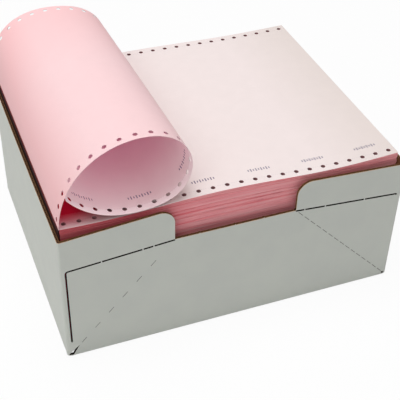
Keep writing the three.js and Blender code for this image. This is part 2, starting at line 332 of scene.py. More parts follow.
rng = np.random.default_rng(11)
fine = np.arange(0, FINE_DEPTH, FINE_STEP)
coarse = np.linspace(FINE_DEPTH, STACK_HEIGHT - SEAT, COARSE_ROWS)
depths = np.concatenate([fine, coarse])
row_scatter = rng.random((2, len(depths)))
row_scatter[:, 0] = 0
row_phase = rng.random(len(depths)) * 2 * np.pi
is_groove = (rng.random(len(depths)) < GROOVE_SHARE) & (depths > TOP_SHEET) & (depths < FINE_DEPTH)
is_groove |= (depths > 0) & (depths < TOP_SHEET)
grooves = GROOVE_DEPTH * is_groove
print("sides in", len(depths), "rows,", int(is_groove.sum()), "of them grooves")


def page_points(uv, depth):
    """Places at a depth below the top page: the swell fades out with depth."""
    x, y = stack_left + uv[:, 0], stack_front + uv[:, 1]
    fade = np.clip(1 - depth / SWELL_FADE, 0, 1)
    return np.stack([x, y, floor_top + STACK_HEIGHT - depth + swell(x, uv[:, 1]) * fade], axis=1)


def side_inset(uv, row):
    """How far a side point stands in: scatter and grooves on cut edges, rounded bulges on folded ends."""
    share = depths[row] / STACK_HEIGHT * BUNDLES
    bulge = np.abs(np.cos(np.pi * share)) ** RIDGE_POWER * min(1, depths[row] / RIDGE_START)
    folded = RIDGE_DEPTH * bulge + CUT_SCATTER * row_scatter[0, row]
    wave = 0.5 + 0.5 * np.sin(uv[:, 0] / WAVE_REACH + row_phase[row])
    scatter = CUT_SCATTER * (SCATTER_SHARE * row_scatter[1, row] + SCATTER_SHARE * wave)
    cut = scatter * min(1, row / STEADY_ROWS) + grooves[row]
    at_left, at_right = uv[:, 0] < TOUCH, uv[:, 0] > FORM_LENGTH - TOUCH
    at_front, at_back = uv[:, 1] < TOUCH, uv[:, 1] > FORM_WIDTH - TOUCH
    return np.stack([folded * at_left - folded * at_right, cut * at_front - cut * at_back], axis=1)


def walls_down(edges, rows_of_points, uv_rows, slot):
    """A band of quads under directed rim edges: one row of points after another, from the page down."""
    faces = hanging_faces(edges, len(rows_of_points[0]), len(rows_of_points))
    return np.concatenate(rows_of_points), np.concatenate(uv_rows), faces, slot


def stack_patches():
    """Top page, underside, the four sides and the wells of the sprocket holes."""
    top = page_points(form_uv, 0)
    used, edges = np.unique(form_rim[is_side], return_inverse=True)
    side_uv = form_uv[used]
    rows = [page_points(side_uv, depth) for depth in depths]
    for k, row in enumerate(rows):
        row[:, :2] += side_inset(side_uv, k)
    side = walls_down(edges.reshape(-1, 2), rows, [side_uv] * len(rows), 2)
    used_hole, hole_edges = np.unique(form_rim[~is_side], return_inverse=True)
    hole_uv = form_uv[used_hole]
    hole_depths = WELL_SHARES * depths[-1]
    well_rows = [page_points(hole_uv, depth) for depth in hole_depths]
    wells = walls_down(hole_edges.reshape(-1, 2), well_rows, [hole_uv] * len(well_rows), 3)
    base = page_points(form_uv, depths[-1])
    border_rank = np.searchsorted(used, np.nonzero(on_border)[0])
    base[on_border] = rows[-1][border_rank]
    return [(top, form_uv, form_faces, 0), (base, form_uv, form_faces[:, ::-1], 1), side, wells]


# %% [markdown]
# ## The carton, drawn flat
#
# A carton is one sheet of corrugated board, so it is drawn as its maker cuts it: a strip of four walls with
# four bottom flaps, the feed window cut into the front wall, and the nicked and perforated lines of the
# tear-down panel. The panel's lower corners have a notch at the left and a small slot at the right. The flat
# outline is triangulated, and a second function folds the flat sheet into shape.

# %% Carton sizes in millimetres
FOLD_RADIUS = 2.6
WALL_HEIGHT = 133.0
FLAP_SEAM = 0.8
FLAP_INSET = 6.0
CORNER_FOOT, CORNER_REACH, CORNER_RISE = 2.0, 1.0, 0.3 * FOLD_RADIUS
WINDOW_CENTRE, WINDOW_WIDTH, WINDOW_SILL = -3.5, 110.5, 109.3
EAR_HEIGHT, RIGHT_EAR_HEIGHT, EAR_RADIUS = 140.2, 138.0, 13.0
SLIT_WIDTH, SLIT_DROP, SLIT_INSET, SLIT_BEND = 1.3, 7.7, 5.0, 2.2
LEFT_SLIT_FOOT = 18.0
NICK_WIDTH = 1.4
LEFT_NICKS, RIGHT_NICKS, SILL_NICKS = (18.5, 28, 63.5), (8.5, 28.5, 67.5), (22, 54, 80.5)
SILL_NICK_HEIGHT = 0.8
DASH_LENGTH, DASH_PITCH, DASH_WIDTH, DASH_FIRST = 6.5, 19.0, 0.12, 1.25
NOTCH_WIDTH, NOTCH_LENGTH, NOTCH_FOOT = 5.5, 17.0, 2.7
RELIEF_START, RELIEF_END, RELIEF_WIDTH = (3.2, 2.9), (5.0, 4.6), 1.8
EDGE_STEP = 1.0
RAMP_POINTS, EAR_POINTS, BEND_POINTS = 12, 14, 9

arc = FOLD_RADIUS * np.pi / 2
front_run = 2 * (half_length - FOLD_RADIUS)
side_run = 2 * (half_depth - FOLD_RADIUS)
perimeter = 2 * (front_run + side_run) + 4 * arc
strip_start = -(side_run + 2 * arc)
window_left, window_right = WINDOW_CENTRE - WINDOW_WIDTH / 2, WINDOW_CENTRE + WINDOW_WIDTH / 2
flap_end = FOLD_RADIUS - arc - (half_depth - FLAP_SEAM / 2 - FOLD_RADIUS)
print("blank:", round(perimeter), "mm round and", round(EAR_HEIGHT - flap_end), "mm high")


# %% Outline and cut lines of the flat carton
def ramp(x0, z0, x1, z1, count):
    """Evenly spaced points from one place to another, without the last."""
    t = np.linspace(0, 1, count, endpoint=False)[:, None]
    return np.array([x0, z0]) * (1 - t) + np.array([x1, z1]) * t


def ear_arc(cx, height, start, stop):
    """Points on an ear's quarter circle that reaches up to a height, angles in degrees."""
    turn = np.radians(np.linspace(start, stop, EAR_POINTS))
    cz = height - EAR_RADIUS
    return np.stack([cx + EAR_RADIUS * np.cos(turn), cz + EAR_RADIUS * np.sin(turn)], axis=1)


def front_top_line():
    """Upper line of the front wall in x and z, left to right: ear, window with its torn nicks, ear."""
    left_ear, right_ear = window_left - EAR_RADIUS, window_right + EAR_RADIUS
    straight = half_length - FOLD_RADIUS
    nicks = [np.array([[x - NICK_WIDTH / 2, WINDOW_SILL], [x, WINDOW_SILL + SILL_NICK_HEIGHT],
                       [x + NICK_WIDTH / 2, WINDOW_SILL]]) for x in window_left + np.array(SILL_NICKS)]
    return np.concatenate([
        ramp(-straight, WALL_HEIGHT, left_ear, EAR_HEIGHT, RAMP_POINTS),
        ear_arc(left_ear, EAR_HEIGHT, 90, 0),
        [[window_left, WINDOW_SILL]], *nicks, [[window_right, WINDOW_SILL]],
        ear_arc(right_ear, RIGHT_EAR_HEIGHT, 180, 90),
        ramp(right_ear, RIGHT_EAR_HEIGHT, straight, WALL_HEIGHT, RAMP_POINTS)[1:],
    ])


def divided(loop, step):
    """The same loop with extra points, so that no side is longer than the step and every edge can fold."""
    ends = np.roll(loop, -1, axis=0)
    counts = np.maximum(1, np.ceil(np.linalg.norm(ends - loop, axis=1) / step)).astype(int)
    return np.concatenate([ramp(*start, *end, count) for start, end, count in zip(loop, ends, counts)])


def blank_outline():
    """The whole strip in (distance round the carton, height): walls above, four flaps below."""
    right_start = front_run + arc
    back_start = right_start + side_run + arc
    left_start = strip_start + arc
    strip_end = strip_start + perimeter
    front_top = front_top_line() + (front_run / 2, 0)
    top = np.concatenate([[[strip_start, WALL_HEIGHT]], front_top, [[front_run, WALL_HEIGHT]],
                          [[strip_end, WALL_HEIGHT]]])
    foot = [[strip_start, CORNER_FOOT]]
    walls = ((left_start, side_run), (0, front_run), (right_start, side_run), (back_start, front_run))
    for start, run in walls:
        end = start + run
        near, far = start + FLAP_INSET, end - FLAP_INSET
        foot += [[start, CORNER_FOOT], [start + CORNER_REACH, CORNER_RISE], [near, 0], [near, flap_end],
                 [far, flap_end], [far, 0], [end - CORNER_REACH, CORNER_RISE], [end, CORNER_FOOT]]
    return np.concatenate([foot, top[::-1]])


def bar(start, stop, width):
    """A narrow rectangle from one place to another, as its four corners."""
    start, stop = np.array(start, float), np.array(stop, float)
    along = (stop - start) / np.linalg.norm(stop - start)
    across = np.array([-along[1], along[0]]) * width / 2
    return np.array([start - across, stop - across, stop + across, start + across])


def slit_loops(side, nicks):
    """The cut from the window's foot to the panel's top corner, broken where the nicks hold."""
    inner = window_left if side < 0 else window_right
    outer = side * (half_length - SLIT_INSET - SLIT_BEND)
    run = abs(outer - inner)

    def at(d):
        return inner + side * d, WINDOW_SILL - SLIT_WIDTH / 2 - SLIT_DROP * d / run

    starts = [0, *(nick + NICK_WIDTH / 2 for nick in nicks)]
    stops = [*(nick - NICK_WIDTH / 2 for nick in nicks), run]
    return [bar(at(a), at(b), SLIT_WIDTH) for a, b in zip(starts, stops)]


def bent_slit(side, turn, foot=None):
    """One loop round the bend at the panel's top corner, with the straight cut below it if it has opened."""
    x = side * (half_length - SLIT_INSET - SLIT_BEND)
    z = WINDOW_SILL - SLIT_WIDTH / 2 - SLIT_DROP - SLIT_BEND
    angle = np.linspace(0, turn, BEND_POINTS)
    ring = [np.stack([x + side * r * np.sin(angle), z + r * np.cos(angle)], axis=1)
            for r in (SLIT_BEND + SLIT_WIDTH / 2, SLIT_BEND - SLIT_WIDTH / 2)]
    outer, inner = ring
    if foot is not None:
        end = x + side * SLIT_BEND
        tail = np.array([[end + side * SLIT_WIDTH / 2, foot + SLIT_WIDTH], [end, foot],
                         [end - side * SLIT_WIDTH / 2, foot + SLIT_WIDTH]])
        return np.concatenate([outer, tail, inner[::-1]])
    return np.concatenate([outer, inner[::-1]])


def perforation(side):
    """Short cuts from the wall's lower corner to the window's foot, twice as close on the right."""
    start = np.array([side * half_length, 0.0])
    stop = np.array([window_left if side < 0 else window_right, WINDOW_SILL])
    length = np.linalg.norm(stop - start)
    pitch = DASH_PITCH if side < 0 else DASH_PITCH / 2
    middles = (np.arange(int(length / pitch) - 1) + DASH_FIRST) * pitch
    along = (stop - start) / length
    return [bar(start + along * (m - DASH_LENGTH / 2), start + along * (m + DASH_LENGTH / 2), DASH_WIDTH)
            for m in middles]


def notch():
    """The wedge that has opened at the left foot of the panel."""
    rise = np.arctan2(WINDOW_SILL, window_left + half_length)
    tip = NOTCH_LENGTH * np.array([np.cos(rise), np.sin(rise)])
    foot_left, foot_right = -half_length + NOTCH_WIDTH / 3, -half_length + NOTCH_WIDTH
    return np.array([[foot_left, NOTCH_FOOT], [foot_right, NOTCH_FOOT], [-half_length + tip[0], tip[1]],
                     [foot_left, 1.5 * NOTCH_FOOT]])


def relief():
    """The small slot punched at the right foot, where the perforation starts."""
    start, stop = ((half_length - across, up) for across, up in (RELIEF_START, RELIEF_END))
    return bar(start, stop, RELIEF_WIDTH)


cuts = [*slit_loops(-1, LEFT_NICKS), *slit_loops(1, RIGHT_NICKS), bent_slit(-1, np.pi / 2, LEFT_SLIT_FOOT),
        bent_slit(1, np.pi / 3), *perforation(-1), *perforation(1), notch(), relief()]
cuts = [loop + (front_run / 2, 0) for loop in cuts]
outline = divided(blank_outline(), EDGE_STEP)
print("outline of", len(outline), "points with", len(cuts), "cuts")

# %% [markdown]
# ## Triangles for the flat carton
#
# A constrained Delaunay triangulation keeps every drawn line as an edge. Extra points on a loose grid, and
# close columns where the board bends, give the folded walls something to curve with. Triangles are kept
# where their middle lies inside the outline and outside every cut.

# %% Triangulate the blank
GRID_STEP = 9.0
BEND_COLUMNS = 6
CLEAR_OF_LINES = 1.2
BESIDE_FOLD = 1.5
SEAM_FOOT = 4.0
CDT_OUTPUT, CDT_TOLERANCE = 0, 1e-5
LEAST_LENGTH2 = 1e-12


def inside(points, loop):
    """Even-odd rule for many points at once: a ray to the right crosses the loop an odd number of times."""
    x, y = points[:, 0][:, None], points[:, 1][:, None]
    x0, y0 = loop[:, 0], loop[:, 1]
    x1, y1 = np.roll(loop, -1, axis=0).T
    crosses = (y0 > y) != (y1 > y)
    slope = np.where(y1 == y0, 1, y1 - y0)
    return (np.sum(crosses & (x < x0 + (y - y0) * (x1 - x0) / slope), axis=1) % 2).astype(bool)


def distance_to(points, loop):
    """Distance of many points to the nearest side of a loop."""
    start, end = loop, np.roll(loop, -1, axis=0)
    along = end - start
    length2 = np.maximum(np.sum(along ** 2, axis=1), LEAST_LENGTH2)
    t = np.clip(np.einsum("pkd,kd->pk", points[:, None] - start, along) / length2, 0, 1)
    return np.linalg.norm(points[:, None] - (start + t[..., None] * along), axis=2).min(axis=1)


def blank_triangles():
    """Points and triangles of the flat carton, every triangle running the same way round."""
    corner_starts = strip_start + np.cumsum([0, arc + side_run, arc + front_run, arc + side_run])
    bends = np.concatenate([start + np.linspace(0, arc, BEND_COLUMNS + 1) for start in corner_starts])
    near = np.concatenate([(start - BESIDE_FOLD, start + arc + BESIDE_FOLD) for start in corner_starts])
    between = np.arange(strip_start, strip_start + perimeter, GRID_STEP)
    between = between[np.abs(between[:, None] - bends).min(axis=1) > GRID_STEP / 3]
    columns = np.sort(np.concatenate([bends, near, between]))
    fold = FOLD_RADIUS - np.linspace(0, arc, BEND_COLUMNS + 1)
    flap_rows = np.arange(flap_end + GRID_STEP, fold[-1] - 2 * BESIDE_FOLD, GRID_STEP)
    wall_rows = np.arange(2 * GRID_STEP, EAR_HEIGHT, GRID_STEP)
    rows = np.concatenate([flap_rows, [fold[-1] - BESIDE_FOLD], fold,
                           [FOLD_RADIUS + BESIDE_FOLD], wall_rows])
    grid = np.stack(np.meshgrid(columns, rows), axis=-1).reshape(-1, 2)
    loops = [outline, *cuts]
    grid = grid[inside(grid, outline)]
    for loop in loops:
        grid = grid[distance_to(grid, loop) > CLEAR_OF_LINES]
    for loop in cuts:
        grid = grid[~inside(grid, loop)]
    seams = (strip_start, strip_start + perimeter)
    ends = np.stack(np.meshgrid(seams, rows[rows > SEAM_FOOT]), axis=-1).reshape(-1, 2)
    points, edges = [], []
    for loop in loops:
        base = sum(len(part) for part in points)
        points.append(loop)
        edges += [(base + k, base + (k + 1) % len(loop)) for k in range(len(loop))]
    points = np.concatenate([*points, grid, ends[ends[:, 1] < WALL_HEIGHT]])
    vectors = [Vector(point) for point in points]
    made = delaunay_2d_cdt(vectors, edges, [], CDT_OUTPUT, CDT_TOLERANCE)
    vertices = np.array([tuple(vertex) for vertex in made[0]])
    faces = np.array([face for face in made[2] if len(face) == 3])
    middle = vertices[faces].mean(axis=1)
    keep = inside(middle, outline)
    for loop in cuts:
        keep &= ~inside(middle, loop)
    faces = faces[keep]
    a, b, c = vertices[faces].transpose(1, 0, 2)
    turned = np.cross(b - a, c - a) < 0
    faces[turned] = faces[turned][:, ::-1]
    used, faces = np.unique(faces, return_inverse=True)
    return vertices[used], faces.reshape(-1, 3)


blank_points, blank_faces = blank_triangles()
print("blank:", len(blank_points), "points and", len(blank_faces), "triangles")

# %% [markdown]
# ## Folding the carton
#
# The fold is a function of three numbers: distance round the carton, height and depth into the board. Round
# the corners the walls follow an arc, below the foot line the flaps turn under by another arc, and the two
# end flaps ride up on the front and back flaps. The walls are drawn in by a hair towards their corners, so
# that the free top edges bow outwards as a full carton's do.

# %% The folding function
BOW = 0.5
CLIMB = 5.0


def fold(blank, depth):
    """Places in space of the flat points at a depth into the board."""
    t = np.mod(blank[:, 0], perimeter)
    starts = np.array([0, front_run + arc, front_run + side_run + 2 * arc,
                       2 * front_run + side_run + 3 * arc])
    runs = np.array([front_run, side_run, front_run, side_run])
    wall = np.searchsorted(starts, t, side="right") - 1
    past = t - starts[wall]
    run = runs[wall]
    turn = np.clip((past - run) / FOLD_RADIUS, 0, np.pi / 2)
    along = np.minimum(past, run)
    straight = (half_length - FOLD_RADIUS, half_depth - FOLD_RADIUS)
    begin = np.array([[-1, -1], [1, -1], [1, 1], [-1, 1]]) * straight
    heading = wall * np.pi / 2
    forward = np.stack([np.cos(heading), np.sin(heading)], axis=1)
    out = np.stack([np.sin(heading + turn), -np.cos(heading + turn)], axis=1)
    centre = begin[wall] + forward * along[:, None]
    height = blank[:, 1]
    below = np.clip(FOLD_RADIUS - height, 0, None)
    tilt = np.minimum(below / FOLD_RADIUS, np.pi / 2)
    under = np.clip(below - arc, 0, None)
    reach = FOLD_RADIUS - depth
    is_end = wall % 2 == 1
    step = np.clip(under / CLIMB, 0, 1)
    lift = np.where(is_end, BOARD * step * step * (3 - 2 * step), 0)
    outward = np.where(below > 0, reach * np.cos(tilt) - under, reach)
    z = np.where(below > 0, FOLD_RADIUS - reach * np.sin(tilt) + lift, height)
    share = np.clip(height / WALL_HEIGHT, 0, 1)
    bow = BOW * (np.sin(np.pi * along / run) - 1) * share * (turn == 0)
    bow = np.where(turn > 0, -BOW * share, bow)
    flat = centre + out * (outward + bow)[:, None]
    return np.concatenate([flat, z[:, None]], axis=1)


# %% [markdown]
# ## Cut edges of the board
#
# Where board is cut, its two liners stand as thin lips and the hollow flutes between them lie in shadow,
# painted into the band's colour. Along every cut a band goes over one lip, down to the flutes, and over the
# other lip. Its UV keeps the distance round the carton, so that the flutes, upright in the walls, are drawn
# where they are cut across. The band along the inner cuts gets plain painted shade of its own, because the
# narrow cuts are dark inside.

# %% The carton's patches
EDGE_INSET = 0.15
RECESS = 0.7
OUTLINE_REACH = 0.3
EDGE_PROFILE = np.array([(EDGE_INSET, 0), (0, 0.12), (0, 0.3), (RECESS, 0.42)])
SEAM_REACH = 1e-3
LEAST_MITRE = 1.2


def rim_inward(points, edges):
    """For each rim point, the direction into the board in the flat, from its two rim edges."""
    along = points[edges[:, 1]] - points[edges[:, 0]]
    along /= np.linalg.norm(along, axis=1, keepdims=True)
    left = np.stack([-along[:, 1], along[:, 0]], axis=1)
    total = np.zeros_like(points)
    np.add.at(total, edges[:, 0], left)
    np.add.at(total, edges[:, 1], left)
    length2 = np.sum(total ** 2, axis=1, keepdims=True)
    return 2 * total / np.maximum(length2, LEAST_MITRE)


def carton_patches():
    """Outer face, inner face, and the band over the cut edges between them."""
    from_start = np.abs(blank_points[:, 0] - strip_start)
    on_seam = np.minimum(from_start, np.abs(from_start - perimeter)) < SEAM_REACH
    edges = rim_edges(blank_faces)
    edges = edges[~on_seam[edges].all(axis=1)]
    inward = rim_inward(blank_points, edges)
    inward[on_seam, 0] = 0
    drawn_in = blank_points + inward * EDGE_INSET
    rows, uv_rows = [], []
    profile = np.concatenate([EDGE_PROFILE, EDGE_PROFILE[::-1] * (1, -1) + (0, BOARD)])
    for inset, depth in profile:
        rows.append(fold(blank_points + inward * inset, depth))
        uv_rows.append(np.stack([blank_points[:, 0], np.full(len(blank_points), depth)], axis=1))
    in_cut = distance_to(blank_points[edges].mean(axis=1), outline) > OUTLINE_REACH
    outer_band, inner_band = (walls_down(edges[chosen], rows, uv_rows, slot)
                              for chosen, slot in ((~in_cut, 2), (in_cut, 3)))
    return [(fold(drawn_in, 0), blank_points, blank_faces, 0),
            (fold(drawn_in, BOARD), blank_points, blank_faces[:, ::-1], 1), outer_band, inner_band]


# %% [markdown]
# ## Materials
#
# Paper and board are told by small things: fibres that catch the light, print, the stripes of stacked cut
# edges, the flutes that show through a liner. Each such effect is a node group with named inputs, made once
# and placed in the materials that need it. The helpers below keep each group down to a few lines.


# %% Helpers for node trees
def new_group(name, inputs):
    """A shader node group with its inputs, given as name: default; a triple is a place in space."""
    group = bpy.data.node_groups.new(name, "ShaderNodeTree")
    for socket, default in inputs.items():
        kind = "NodeSocketVector" if isinstance(default, tuple) else "NodeSocketFloat"
        group.interface.new_socket(socket, in_out="INPUT", socket_type=kind).default_value = default
    return group, group.nodes.new("NodeGroupInput").outputs


def give(group, values):
    """Gives the group an output for each named value, all of them numbers."""
    for name in values:
        group.interface.new_socket(name, in_out="OUTPUT", socket_type="NodeSocketFloat")
    result = group.nodes.new("NodeGroupOutput")
    for name, value in values.items():
        group.links.new(value, result.inputs[name])
    return group


def add(tree, kind, inputs=(), **settings):
    """Adds a node, sets its properties, and sets or links its inputs by name or number."""
    node = tree.nodes.new(kind)
    for name, value in settings.items():
        setattr(node, name, value)
    for name, value in dict(inputs).items():
        if isinstance(value, bpy.types.NodeSocket):
            tree.links.new(value, node.inputs[name])
        else:
            node.inputs[name].default_value = value
    return node


def use(tree, group, inputs):
    """Places a node group in a tree and gives its outputs."""
    return add(tree, "ShaderNodeGroup", inputs, node_tree=group).outputs


def flat_in(tree):
    """The place in the flat sheet, from the piece's UV map."""
    return add(tree, "ShaderNodeUVMap", uv_map="flat").outputs[0]


def place_in(tree):
    """The place in space, from the piece's Object coordinates."""
    return add(tree, "ShaderNodeTexCoord").outputs["Object"]


def maths(tree, operation, a, b=0.0, c=0.0, clamp=False):
    """A Math node's result."""
    return add(tree, "ShaderNodeMath", {0: a, 1: b, 2: c}, operation=operation, use_clamp=clamp).outputs[0]


def flat_place(tree, flat, unit_along, unit_across):
    """The distances along and across the flat sheet, each in its own unit."""
    split = add(tree, "ShaderNodeSeparateXYZ", {0: flat}).outputs
    return maths(tree, "DIVIDE", split[0], unit_along), maths(tree, "DIVIDE", split[1], unit_across)


def band(tree, value, centre, half, soft):
    """1 within half of the centre, falling to 0 over soft."""
    away = maths(tree, "ABSOLUTE", maths(tree, "SUBTRACT", value, centre))
    return maths(tree, "DIVIDE", maths(tree, "SUBTRACT", half + soft, away), soft, clamp=True)


def ramped(tree, value, start, stop):
    """0 at the start value, 1 at the stop value, straight between them; the start may be the higher one."""
    return add(tree, "ShaderNodeMapRange", {"Value": value, "From Min": start, "From Max": stop}).outputs[0]


def noise(tree, place, scale, detail, roughness=0.5, distortion=0.0):
    """A noise texture's value; the scale counts its waves in a metre."""
    look = {"Detail": detail, "Roughness": roughness, "Distortion": distortion}
    return add(tree, "ShaderNodeTexNoise", {"Vector": place, "Scale": scale, **look}).outputs["Fac"]


def mix_colour(tree, share, a, b, blend="MIX"):
    """One colour blended into another, or multiplied by it."""
    node = add(tree, "ShaderNodeMix", {0: share}, data_type="RGBA", blend_type=blend)
    for socket, value in ((node.inputs[6], a), (node.inputs[7], b)):
        if isinstance(value, bpy.types.NodeSocket):
            tree.links.new(value, socket)
        else:
            socket.default_value = value
    return node.outputs[2]


def tinted(tree, base, colour, mask, share):
    """A colour blended into the base by a share, as far as the mask is 1."""
    return mix_colour(tree, maths(tree, "MULTIPLY", mask, share), base, colour)


def new_material(name, roughness, specular=0.3):
    """A material with its Principled shader, ready to be given colour and bump."""
    material = bpy.data.materials.new(name)
    material.use_nodes = True
    shader = material.node_tree.nodes["Principled BSDF"]
    shader.inputs["Roughness"].default_value = roughness
    shader.inputs["Specular IOR Level"].default_value = specular
    return material, material.node_tree, shader


def dress(tree, shader, base, height, strength, distance):
    """Links the base colour, and bump from a height for what is too fine to be a shape."""
    tree.links.new(base, shader.inputs["Base Color"])
    bump = add(tree, "ShaderNodeBump", {"Strength": strength, "Distance": distance, "Height": height})
    tree.links.new(bump.outputs[0], shader.inputs["Normal"])


def srgb(red, green, blue):
    """A colour given as eight-bit screen values, turned to the linear light that shaders use."""
    screen = np.array([red, green, blue]) / 255
    linear = np.where(screen <= 0.04045, screen / 12.92, ((screen + 0.055) / 1.055) ** 2.4)
    return (*linear.tolist(), 1.0)


NOWHERE = (0.0, 0.0, 0.0)

# %% [markdown]
# ## Paper fibre
#
# Uncoated paper is a felt of fibres: its tone is a little cloudy, and its surface is rough at a size that
# only grazing light shows. It could be scanned from a real sheet, but two noises do as well and need no
# picture. Every paper surface below shares them.

# %% Paper fibre, shared by every paper surface
CLOUD_SIZE, CLOUD_DETAIL, CLOUD_ROUGHNESS = 0.012, 4.0, 0.6
FIBRE_SIZE, FIBRE_DETAIL, FIBRE_TWIST = 0.0007, 3.0, 1.5


def make_fibre_group():
    """Fine and cloudy noise: their mean as a tone between two near colours, and the fine one as a height."""
    group, given = new_group("paper_fibre", {"Place": NOWHERE, "Cloud Size": CLOUD_SIZE,
                                             "Fibre Size": FIBRE_SIZE})
    cloud_scale = maths(group, "DIVIDE", 1.0, given["Cloud Size"])
    fibre_scale = maths(group, "DIVIDE", 1.0, given["Fibre Size"])
    cloud = noise(group, given["Place"], cloud_scale, CLOUD_DETAIL, roughness=CLOUD_ROUGHNESS)
    fibre = noise(group, given["Place"], fibre_scale, FIBRE_DETAIL, distortion=FIBRE_TWIST)
    tone = maths(group, "ADD", maths(group, "MULTIPLY", cloud, 0.5), maths(group, "MULTIPLY", fibre, 0.5))
    return give(group, {"Tone": tone, "Height": fibre})


fibre_group = make_fibre_group()
print("paper fibre of", FIBRE_SIZE / MM, "mm in clouds of", CLOUD_SIZE / MM, "mm")

# %% [markdown]
# ## Print on the form
#
# The white ply is printed: along the front margin stand short upright ticks in groups that repeat every
# four holes, and down both margins a fine dashed line shows where the strip of holes tears off. They could
# be drawn as an image, but worked out from the place in the flat form they stay sharp and bend with it.

# %% Ticks, tear-off lines and margins, in millimetres
TICK_FIRST, TICK_REPEAT, TICK_PITCH = 27.4, 4 * PITCH, 2.4
TICK_ROW, TICK_ROW_LENGTH, ROW_END, ROW_SOFT = 18.5, 23.0, 0.3, 0.2
STROKE_HALF, STROKE_SOFT = 0.14, 0.1
SHORT_TICK, LONG_EXTRA, TICK_SHARPNESS = 1.3, 0.8, 4.0
EVEN_SHIFT = 40.0
TEAR_LINE, TEAR_HALF, TEAR_SOFT = 7.4, 0.12, 0.2
TEAR_PITCH, TEAR_GAP = 2.1, 0.4


def make_print_group():
    """Groups of upright ticks, every other one longer, the dashed lines, and the margins outside them."""
    group, given = new_group("form_print", {"Flat": NOWHERE})
    u, v = flat_place(group, given["Flat"], MM, MM)
    from_first = maths(group, "ADD", u, TICK_REPEAT / 2 - TICK_FIRST)
    in_repeat = maths(group, "FLOORED_MODULO", from_first, TICK_REPEAT)
    place = maths(group, "SUBTRACT", in_repeat, TICK_REPEAT / 2)
    in_group = band(group, place, 0.0, TICK_ROW_LENGTH / 2 - ROW_END, ROW_SOFT)
    count = maths(group, "ADD", maths(group, "DIVIDE", place, TICK_PITCH), EVEN_SHIFT)
    tick = maths(group, "SUBTRACT", maths(group, "FRACT", maths(group, "ADD", count, 0.5)), 0.5)
    stroke = band(group, tick, 0.0, STROKE_HALF, STROKE_SOFT)
    is_odd = maths(group, "FLOORED_MODULO", maths(group, "ROUND", count), 2.0)
    height = maths(group, "MULTIPLY_ADD", is_odd, LONG_EXTRA, SHORT_TICK)
    away = maths(group, "ABSOLUTE", maths(group, "SUBTRACT", v, TICK_ROW))
    row = maths(group, "MULTIPLY", maths(group, "SUBTRACT", height, away), TICK_SHARPNESS, clamp=True)
    ticks = maths(group, "MULTIPLY", maths(group, "MULTIPLY", in_group, stroke), row)
    from_middle = maths(group, "ABSOLUTE", maths(group, "SUBTRACT", v, FORM_WIDTH / 2))
    line = band(group, from_middle, FORM_WIDTH / 2 - TEAR_LINE, TEAR_HALF, TEAR_SOFT)
    in_dash = maths(group, "FRACT", maths(group, "DIVIDE", u, TEAR_PITCH))
    dash = maths(group, "GREATER_THAN", in_dash, TEAR_GAP)
    margin = maths(group, "GREATER_THAN", from_middle, FORM_WIDTH / 2 - TEAR_LINE)
    return give(group, {"Ticks": ticks, "Line": maths(group, "MULTIPLY", line, dash), "Margin": margin})


print_group = make_print_group()
print("ticks every", TICK_PITCH, "mm in groups every", TICK_REPEAT, "mm")

# %% [markdown]
# ## Places on the form
#
# Some paper looks different only because of where it is. Light comes through the thin pink ply into the
# curl, and the narrow gap under the curl is a deep red, because light reaches it only by way of that ply.
# Real transmission would need a much slower render, so this light and shade is painted: each such place is
# a mask over the flat form, under which the base colour is tinted or a weak emission added. The same masks
# paint shade on the curl's outside near the fold, on the stack's sides under the curl, at the left fold and
# at the page's far end. A mask is a ramp between two shares of the form's length, from the fold, or of its
# width, from the front.

# %% Masks over the form: 0 at the first share of each pair, 1 at the second
ROOF_ALONG, FAR_ALONG, UNDER_ALONG = (0.6, 0.35), (0.76, 1.0), (0.38, 0.22)
MOUTH_ALONG, MOUTH_ACROSS = (0.72, 0.9), (0.4, 0.1)
SHUT_ALONG, SHUT_FRONT, SHUT_BACK = (0.24, 0.2), (-0.012, 0.075), (1.012, 0.925)
DEEP_ALONG, GLOW_ALONG = (0.05, 0.15), (0.14, 0.05)
ROSY_ALONG, ROSY_ACROSS, ROSY_SHARE = (0.24, 0.08), (0.55, 0.95), 0.6
FOLD_WIDTH = 1.3


def make_places_group():
    """Masks of painted light and shade: the curl's lit roof and open mouth, the gap that it shuts in, and
    other shaded parts of the form.
    """
    group, given = new_group("form_places", {"Flat": NOWHERE})
    u, v = flat_place(group, given["Flat"], FORM_LENGTH * MM, FORM_WIDTH * MM)
    mouth = maths(group, "MULTIPLY", ramped(group, u, *MOUTH_ALONG), ramped(group, v, *MOUTH_ACROSS))
    inwards = maths(group, "MULTIPLY", ramped(group, v, *SHUT_FRONT), ramped(group, v, *SHUT_BACK))
    shut = maths(group, "MULTIPLY", ramped(group, u, *SHUT_ALONG), inwards)
    at_back = ramped(group, v, *ROSY_ACROSS)
    rosy = maths(group, "MULTIPLY_ADD", at_back, ROSY_SHARE, ramped(group, u, *ROSY_ALONG))
    return give(group, {
        "Roof": ramped(group, u, *ROOF_ALONG),
        "Mouth": mouth,
        "Shut In": shut,
        "Deep": maths(group, "MULTIPLY", shut, ramped(group, u, *DEEP_ALONG)),
        "Glow": maths(group, "MULTIPLY", shut, ramped(group, u, *GLOW_ALONG)),
        "Fold": maths(group, "LESS_THAN", u, FOLD_WIDTH / FORM_LENGTH),
        "Rosy": maths(group, "MINIMUM", rosy, 1.0),
        "Under": ramped(group, u, *UNDER_ALONG),
        "Far": ramped(group, u, *FAR_ALONG),
    })


def place_mask(tree, name):
    """One of the masks, read in a material."""
    return use(tree, places_group, {"Flat": flat_in(tree)})[name]


def recolour(material, mask_name, colour, blend="MIX"):
    """Blends a material's base colour into another one, or multiplies it, under a mask."""
    tree = material.node_tree
    base_input = tree.nodes["Principled BSDF"].inputs["Base Color"]
    base = base_input.links[0].from_socket
    tree.links.new(mix_colour(tree, place_mask(tree, mask_name), base, colour, blend), base_input)
    return material


